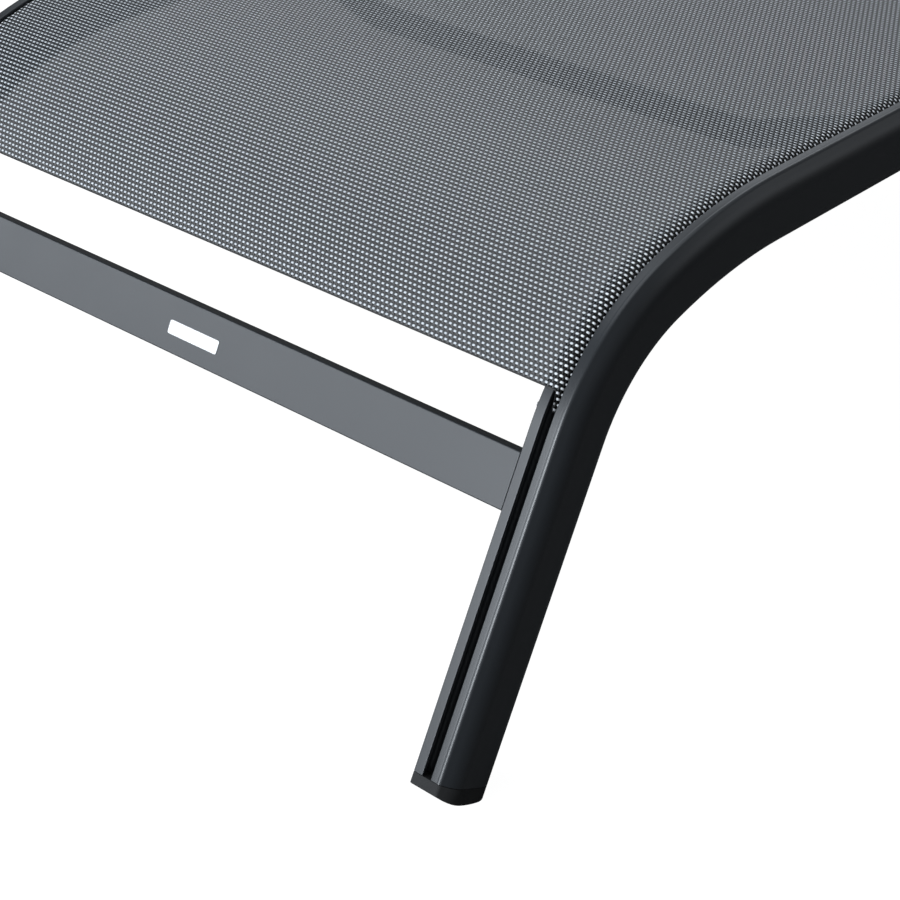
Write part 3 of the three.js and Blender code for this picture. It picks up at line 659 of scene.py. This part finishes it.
for node in ("stretcher_front", "stretcher_middle", "stretcher_hinge"):
    add_single(node, stretcher(node, SEAT_DROP), PAINT)
for node in ("backrest_stretcher_lower", "backrest_stretcher_upper"):
    add_single(node, stretcher(node, BACK_DROP), PAINT)


def box_bar(node, radius):
    """A rectangular bar along X with round edges, in its CAD node's box."""
    low, high = box_mm(node)
    corners = [(low.y, low.z), (high.y, low.z), (high.y, high.z), (low.y, high.z)]
    return plate(rounded(corners, radius, 5), low.x, high.x)


add_single("backrest_head_bar", box_bar("backrest_head_bar", 3.0), PAINT)

# ---------- slings ----------
CLOTH_LIFT = 0.9
FRONT_TAIL, END_TAIL = 13.0, 4.0
BEAD_HALF_HIGH, BEAD_HALF_WIDE = 0.5, 0.42
DIVE_STEPS = 12
FLAT_STEPS = 26
TAIL_FROM, TAIL_OVER = 4.5, 2.2
# Where the cloth's painted slot shade and highlight begin, just before the dive, and how far they take to
# reach full.
SLOT_SHADE_FROM, SLOT_SHADE_OVER = -0.8, 3.2


def eased(distance, over):
    """0 before a distance of 0 and 1 after a distance of over, with a straight rise between."""
    return min(max(distance / over, 0.0), 1.0)


def cloth_profile(slot_x):
    """Half of the cloth's cross-section from the middle out: (x, lift, distance along the cloth)."""
    start = (slot_x - 6.0, CLOTH_LIFT)
    points = [(start[0] * i / FLAT_STEPS, CLOTH_LIFT) for i in range(FLAT_STEPS + 1)]
    points += bezier(start, (slot_x + 0.2, CLOTH_LIFT), (slot_x + 2.5, -4.8), DIVE_STEPS)
    run, profile = 0.0, []
    for i, point in enumerate(points):
        if i:
            run += (Vector(point) - Vector(points[i - 1])).length
        profile.append((*point, run))
    return profile


def cloth(slot_x, at, steps, tails):
    """A sheet over the steps of a line, which dives into the slots.

    tails say how far the part in the slots goes on at each end. Returns the sheet's shape, its flat attribute
    and its width along the cloth.
    """
    half = cloth_profile(slot_x)
    profile = [(-x, lift, -run) for x, lift, run in half[:0:-1]] + half
    flat_run = half[FLAT_STEPS][2]
    points, flat = [], []
    for row, step in enumerate(steps):
        tail = {0: tails[0], len(steps) - 1: tails[1]}.get(row, 0.0)
        for x, lift, run in profile:
            beyond = abs(run) - flat_run
            place = step + tail * eased(beyond - TAIL_FROM, TAIL_OVER)
            origin, normal = at(place)
            points.append(origin + X * x + normal * lift)
            # The third value is the share of painted slot shade and highlight, starting a little before the
            # dive.
            flat.append((run, place, eased(beyond - SLOT_SHADE_FROM, SLOT_SHADE_OVER)))
    count = len(profile)
    faces = []
    for row in range(len(steps) - 1):
        near, far = row * count, (row + 1) * count
        faces += [(near + i, near + i + 1, far + i + 1, far + i) for i in range(count - 1)]
    return (points, faces), flat, 2 * half[-1][2]


def edge_bead(shape, count, row):
    """The thin welded edge along one end of the cloth, in a small round section."""
    points = [Vector(p) for p in shape[0][row * count:(row + 1) * count]]
    next_row = abs(row - 1)
    beside = [Vector(p) for p in shape[0][next_row * count:(next_row + 1) * count]]
    stations = []
    for i, point in enumerate(points):
        along = (point - beside[i]).normalized()
        tangent = (points[min(i + 1, count - 1)] - points[max(i - 1, 0)]).normalized()
        stations.append((point, along, tangent.cross(along)))
    return swept(oval(BEAD_HALF_HIGH, BEAD_HALF_WIDE, 8), stations)


def add_sling(node, slot_x, at, steps, tails):
    shape, flat, width = cloth(slot_x, at, steps, tails)
    sheet = add_piece(f"{node}_cloth", shape, CLOTH, [node], closed=False, flat=flat, smooth=60)
    count = len(shape[0]) // len(steps)
    for end, row in (("foot", 0), ("head", len(steps) - 1)):
        bead = edge_bead(shape, count, row)
        facts = {"slot": SLOT_OF[node], "body": BODY_OF[node]}
        add_piece(f"{node}_edge_{end}", bead, CLOTH_EDGE, **facts)


def wrapped_keder(slot_x, at, steps):
    """The rod in the channel with the cloth's edge wrapped round it."""
    stations = []
    for step in steps:
        origin, normal = at(step)
        stations.append((origin + X * slot_x - normal * CHANNEL_DEPTH, X, normal))
    sides, radius = 24, 4.3
    shape = swept(oval(radius, radius, sides), stations)
    # The third value 1.0 gives the whole wrap the weave's full painted shade on the warp and painted
    # highlight on the weft.
    flat = [(radius * 2 * math.pi * i / sides, step, 1.0) for step in steps for i in range(sides)]
    return shape, flat


def add_keders(name, slot_x, at, steps):
    (points, faces), flat = wrapped_keder(slot_x, at, steps)
    for side, sign in SIDES:
        mirrored = [(x * sign, y, z) for x, y, z in points]
        add_single(f"{name}_{side}", (mirrored, faces), WRAP, flat=flat)


SLING_START, END_STEP = 271.0, 3.0
SEAT_END = box_mm("seat_sling")[1].y
SEAT_SLOT_X = HALF_CLEAR + RAIL_SLOT + SLOT_WIDTH / 2
seat_reach = FOOT_RUN + SEAT_END - (FRONT_TOE_Y + foot_line(FOOT_RUN)[0])
seat_steps = foot_steps(SLING_START)
seat_steps[1:1] = [seat_steps[0] + END_STEP]
level_from = seat_steps[-1]
seat_steps += [level_from + (seat_reach - level_from) * (i + 1) / 22 for i in range(22)]
add_sling("seat_sling", SEAT_SLOT_X, foot_point, seat_steps, (-FRONT_TAIL, END_TAIL))
add_keders("seat_keder", SEAT_SLOT_X, foot_point, seat_steps)

# ---------- backrest ----------
BACK_OUTER = box_mm("backrest_rail_right")[1].x
BACK_WIDTH, BACK_DEPTH = 26.0, 32.0
BACK_SLOT_X = BACK_OUTER - BACK_SLOT - SLOT_WIDTH / 2


def back_line(low, high):
    return sections_at([bed_station(low), bed_station(high)], BACK_OUTER, -1)


rail_low, rail_high = box_mm("backrest_rail_right")
back_outline = rail_outline(BACK_WIDTH, BACK_DEPTH, BACK_SLOT)
add_pair("backrest_rail", swept(back_outline, back_line(rail_low.y, rail_high.y)), PAINT)
lid_outline = rail_outline(BACK_WIDTH, BACK_DEPTH)
head_low, head_high = rail_high.y + 0.3, box_mm("backrest_cap_head_right")[1].y
add_pair("backrest_cap_head", swept(lid_outline, back_line(head_low, head_high)), PLASTIC, bevel=0.8)
foot_low, foot_high = box_mm("backrest_cap_hinge_right")[0].y, rail_low.y - 0.3
add_pair("backrest_cap_hinge", swept(lid_outline, back_line(foot_low, foot_high)), PLASTIC, bevel=0.8)

sling_low, sling_high = box_mm("backrest_sling")
back_steps = [sling_low.y + (sling_high.y - sling_low.y) * i / 24 for i in range(25)]
back_steps[1:1] = [back_steps[0] + END_STEP]
back_steps[-1:-1] = [back_steps[-1] - END_STEP]
add_sling("backrest_sling", BACK_SLOT_X, bed_station, back_steps, (-END_TAIL, END_TAIL))
add_keders("backrest_keder", BACK_SLOT_X, bed_station, back_steps)

# ---------- racks and prop ----------
HINGE_DROP, ROD_GAP = 22.0, 1.0
HINGE_Y, HINGE_Z = 130.0, BED - HINGE_DROP
PROP_REACH, ROD_RADIUS = 215.0, 5.0
PROP_FALL = math.atan2(BACK_DEPTH + ROD_GAP + ROD_RADIUS - HINGE_DROP, 2 * PROP_REACH)
RACK_ANGLES = (20, 35, 50, 66)
TIP_DROP, NOTCH_DEPTH = 6.3, 7.0


def rod_point(distance):
    return HINGE_Y + distance * math.cos(PROP_FALL), HINGE_Z - distance * math.sin(PROP_FALL)


def rack_outline():
    """A plate with rounded notches along its top edge and a tab at each end."""
    low, high = box_mm("prop_rack_right")
    near_tab = low.y + 28
    far_tab = HINGE_Y + 2 * PROP_REACH + ROD_RADIUS + 3

    def tip(y):
        return rod_point(y - HINGE_Y)[1] - TIP_DROP

    points = [(low.y, low.z + 12), (low.y + 12, low.z), (high.y - 10, low.z), (high.y, low.z + 10)]
    points += [(high.y, high.z), (far_tab + 4, high.z), (far_tab, high.z - 4), (far_tab, tip(far_tab))]
    for angle in RACK_ANGLES:
        y = rod_point(2 * PROP_REACH * math.cos(math.radians(angle)))[0]
        top, bottom = tip(y), tip(y) - NOTCH_DEPTH
        points += [(y + 7, top), (y + 6, bottom), (y - 5, bottom), (y - 13, top)]
    return points + [(near_tab + 4, tip(near_tab)), (near_tab, high.z), (low.y, high.z)]


rack_low, rack_high = box_mm("prop_rack_right")
add_pair("prop_rack", plate(rounded(rack_outline(), 2.2, 4), rack_low.x, rack_high.x), STEEL_PAINT, bevel=0.4)


def stadium(first, last, radius, lean):
    """An outline round two points, with its ends turned down by lean degrees."""
    outline = arc(*first, radius, radius, 90 - lean, 270 - lean, 20)
    return outline + arc(*last, radius, radius, -90 - lean, 90 - lean, 20)


prop_pivot, prop_foot = rod_point(PROP_REACH), rod_point(2 * PROP_REACH)
arm_low, arm_high = box_mm("prop_arm_right")
arm_outline = stadium(prop_pivot, prop_foot, 11.0, math.degrees(PROP_FALL))
add_pair("prop_arm", plate(arm_outline, arm_low.x, arm_high.x), STEEL_PAINT, bevel=0.5)


def lug():
    """A plate welded under the backrest rail's side, with the prop's stud."""
    low, high = box_mm("prop_lug_right")
    y, z = prop_pivot
    wide, narrow, side = 24, 9, high.z - 10
    corners = [(y - wide, high.z), (y - wide, side), (y - narrow, low.z)]
    corners += [(y + narrow, low.z), (y + wide, side), (y + wide, high.z)]
    blank = plate(rounded(corners, 3.0, 4), low.x, low.x + 3.9)
    stud = turned([(low.x + 1, 0), (low.x + 1, 4), (high.x - 0.8, 4), (high.x, 3.2), (high.x, 0)], y, z)
    return combine(blank, stud)


add_pair("prop_lug", lug(), PAINT, bevel=0.3)

# ---------- turned parts ----------
SHANK_RADIUS, BORE_RADIUS = 4.0, 4.3


def axis_of(node):
    """A turned part's X range, its radius and its axis's Y and Z."""
    low, high = box_mm(node)
    return low.x, high.x, (high.z - low.z) / 2, (low.y + high.y) / 2, (low.z + high.z) / 2


def bar_profile(start, end, radius, chamfer):
    return [
        (start, 0), (start, radius - chamfer), (start + chamfer, radius),
        (end - chamfer, radius), (end, radius - chamfer), (end, 0),
    ]


def ring_profile(start, end, radius, bore, edge):
    return [
        (start, bore), (start, radius - edge), (start + edge, radius), (end - edge, radius),
        (end, radius - edge), (end, bore),
    ]


start, end, radius, y, z = axis_of("prop_rod")
add_single("prop_rod", turned(bar_profile(start, end, radius, 0.8), y, z), STEEL)

for name, edge, material in (
    ("hinge_washer", 0.3, STEEL),
    ("hinge_spacer", 0.7, PLASTIC),
    ("rest_sleeve", 1.2, PLASTIC),
    ("hinge_insert", 0.3, STEEL),
):
    start, end, radius, y, z = axis_of(f"{name}_right")
    add_pair(name, turned(ring_profile(start, end, radius, BORE_RADIUS, edge), y, z, ring=True), material)

start, end, radius, y, z = axis_of("rest_pin_right")
add_pair("rest_pin", turned(bar_profile(start, end, radius, 0.9), y, z), STEEL)


def hexagon(start, end, radius, y, z):
    """A chamfered hexagon head."""
    edge = 0.1 * radius
    profile = [(start, 0), (start, radius - 2 * edge), (start + edge, radius), (end, radius), (end, 0)]
    return turned(profile, y, z, sides=6)


start, end, radius, y, z = axis_of("hinge_bolt_right")
shank = turned(bar_profile(start + 4, end, SHANK_RADIUS, 0.6), y, z)
flange = turned([(start + 4.2, 0), (start + 4.2, 7.0), (start + 5, 7.6), (start + 5, 0)], y, z)
add_pair("hinge_bolt", combine(hexagon(start, start + 4.6, radius, y, z), flange, shank), STEEL, bevel=0.15)

start, end, radius, y, z = axis_of("prop_pivot_nut_right")
add_pair("prop_pivot_nut", hexagon(end, start, radius, y, z), STEEL, bevel=0.15)


def pan_head(start, radius, height, pit):
    """A domed head that faces the middle, with a round recess."""
    turns = (0.0, 0.25, 0.55, 0.85, 1.1)
    dome = [(start + height - height * math.sin(a), radius * math.cos(a)) for a in turns]
    top = start + 0.05
    recess = [(top, pit + 0.4), (top + 0.2, pit), (top + 0.9, 0.8 * pit), (top + 0.9, 0)]
    return [(start + height, 0)] + dome + recess


for name in ("sling_stop_screw", "rack_rivet_1", "rack_rivet_2"):
    start, end, radius, y, z = axis_of(f"{name}_right")
    height = 3.0 if name == "sling_stop_screw" else 1.6
    shank = turned(bar_profile(start + height - 0.4, end, 0.5 * radius, 0.3), y, z, sides=20)
    add_pair(name, combine(turned(pan_head(start, radius, height, 0.35 * radius), y, z), shank), STEEL)

# ---------- floor and light ----------


def ray_share(nodes):
    return nodes.new("ShaderNodeLightPath").outputs["Is Camera Ray"]


def make_floor():
    """A large pale floor, bright to the eye and dim as a reflector, so that the far sides stay dark."""
    size = 30.0
    corners = [(-size, -size, 0), (size, -size, 0), (size, size, 0), (-size, size, 0)]
    mesh = bpy.data.meshes.new("floor")
    mesh.from_pydata(corners, [], [(0, 1, 2, 3)])
    floor = bpy.data.objects.new("floor", mesh)
    bpy.context.scene.collection.objects.link(floor)
    material = bpy.data.materials.new("pale_floor")
    material.use_nodes = True
    nodes, links = material.node_tree.nodes, material.node_tree.links
    nodes.clear()
    out = nodes.new("ShaderNodeOutputMaterial")
    glow = nodes.new("ShaderNodeEmission")
    glow.inputs["Strength"].default_value = 0.97
    matt = nodes.new("ShaderNodeBsdfDiffuse")
    matt.inputs["Color"].default_value = (0.14, 0.14, 0.14, 1)
    both = nodes.new("ShaderNodeAddShader")
    links.new(glow.outputs[0], both.inputs[0])
    links.new(matt.outputs[0], both.inputs[1])
    mix = nodes.new("ShaderNodeMixShader")
    links.new(ray_share(nodes), mix.inputs[0])
    links.new(matt.outputs[0], mix.inputs[1])
    links.new(both.outputs[0], mix.inputs[2])
    links.new(mix.outputs[0], out.inputs["Surface"])
    mesh.materials.append(material)


def make_world():
    """A white surround to the eye that lights the scene only faintly."""
    world = bpy.data.worlds.new("studio")
    bpy.context.scene.world = world
    world.use_nodes = True
    nodes, links = world.node_tree.nodes, world.node_tree.links
    nodes.clear()
    out = nodes.new("ShaderNodeOutputWorld")
    dim, bright = nodes.new("ShaderNodeBackground"), nodes.new("ShaderNodeBackground")
    dim.inputs["Strength"].default_value = 0.15
    bright.inputs["Strength"].default_value = 1.0
    for node in (dim, bright):
        node.inputs["Color"].default_value = (1, 1, 1, 1)
    mix = nodes.new("ShaderNodeMixShader")
    links.new(ray_share(nodes), mix.inputs[0])
    links.new(dim.outputs[0], mix.inputs[1])
    links.new(bright.outputs[0], mix.inputs[2])
    links.new(mix.outputs[0], out.inputs["Surface"])


def add_softbox(name, direction, distance, size, power, target=(0.0, -0.6, 0.25)):
    """A rectangular area light that faces the target from a direction."""
    away = Vector(direction).normalized()
    data = bpy.data.lights.new(name, "AREA")
    data.shape = "RECTANGLE"
    data.size, data.size_y = size
    data.energy = power
    data.color = (0.94, 1.0, 1.07)
    light = bpy.data.objects.new(name, data)
    bpy.context.scene.collection.objects.link(light)
    light.location = Vector(target) + away * distance
    light.rotation_euler = away.to_track_quat("Z", "Y").to_euler()


make_floor()
make_world()
add_softbox("key", (-0.5, -0.85, 0.25), 3.6, (3.8, 1.2), 70.0)
add_softbox("key_core", (-0.06, -0.96, 0.26), 3.6, (0.7, 1.2), 92.0)
add_softbox("back_left", (-0.6, 0.62, 0.48), 3.6, (2.6, 1.6), 20.0)
add_softbox("top", (-0.1, 0.0, 1.0), 3.2, (2.6, 3.2), 44.0)
add_softbox("back_right", (0.68, 0.64, 0.42), 3.6, (2.2, 1.6), 7.0)
bpy.context.scene.view_settings.view_transform = "Standard"
